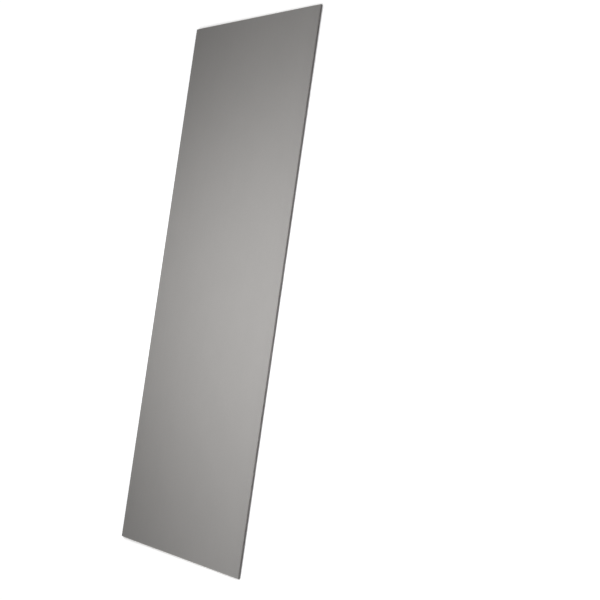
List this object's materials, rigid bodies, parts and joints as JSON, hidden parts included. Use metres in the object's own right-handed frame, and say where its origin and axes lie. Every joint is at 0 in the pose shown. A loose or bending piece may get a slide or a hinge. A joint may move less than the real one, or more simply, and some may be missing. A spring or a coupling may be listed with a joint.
{
  "type": "drywall sheet",
  "caption": "Flat rectangular gypsum board: papered front and back, tapered long edges wrapped in the face paper, square-cut ends with the core bare.",
  "frame": {"origin": "middle of the back face, on the plane that the sheet lies on", "axes": "+X across the width to one wrapped long edge, +Y along the length to one cut end, +Z out of the front face"},
  "size_m": [1.2192, 3.048, 0.0127],
  "materials": {
    "gypsum": "matte",
    "face_paper": "smooth dull facing paper, grey",
    "back_paper": "rougher dull liner paper, grey-brown"
  },
  "bodies": {
    "root": {"gypsum_core": "gypsum", "face_paper": "face_paper", "back_paper": "back_paper"}
  },
  "joints": []
}
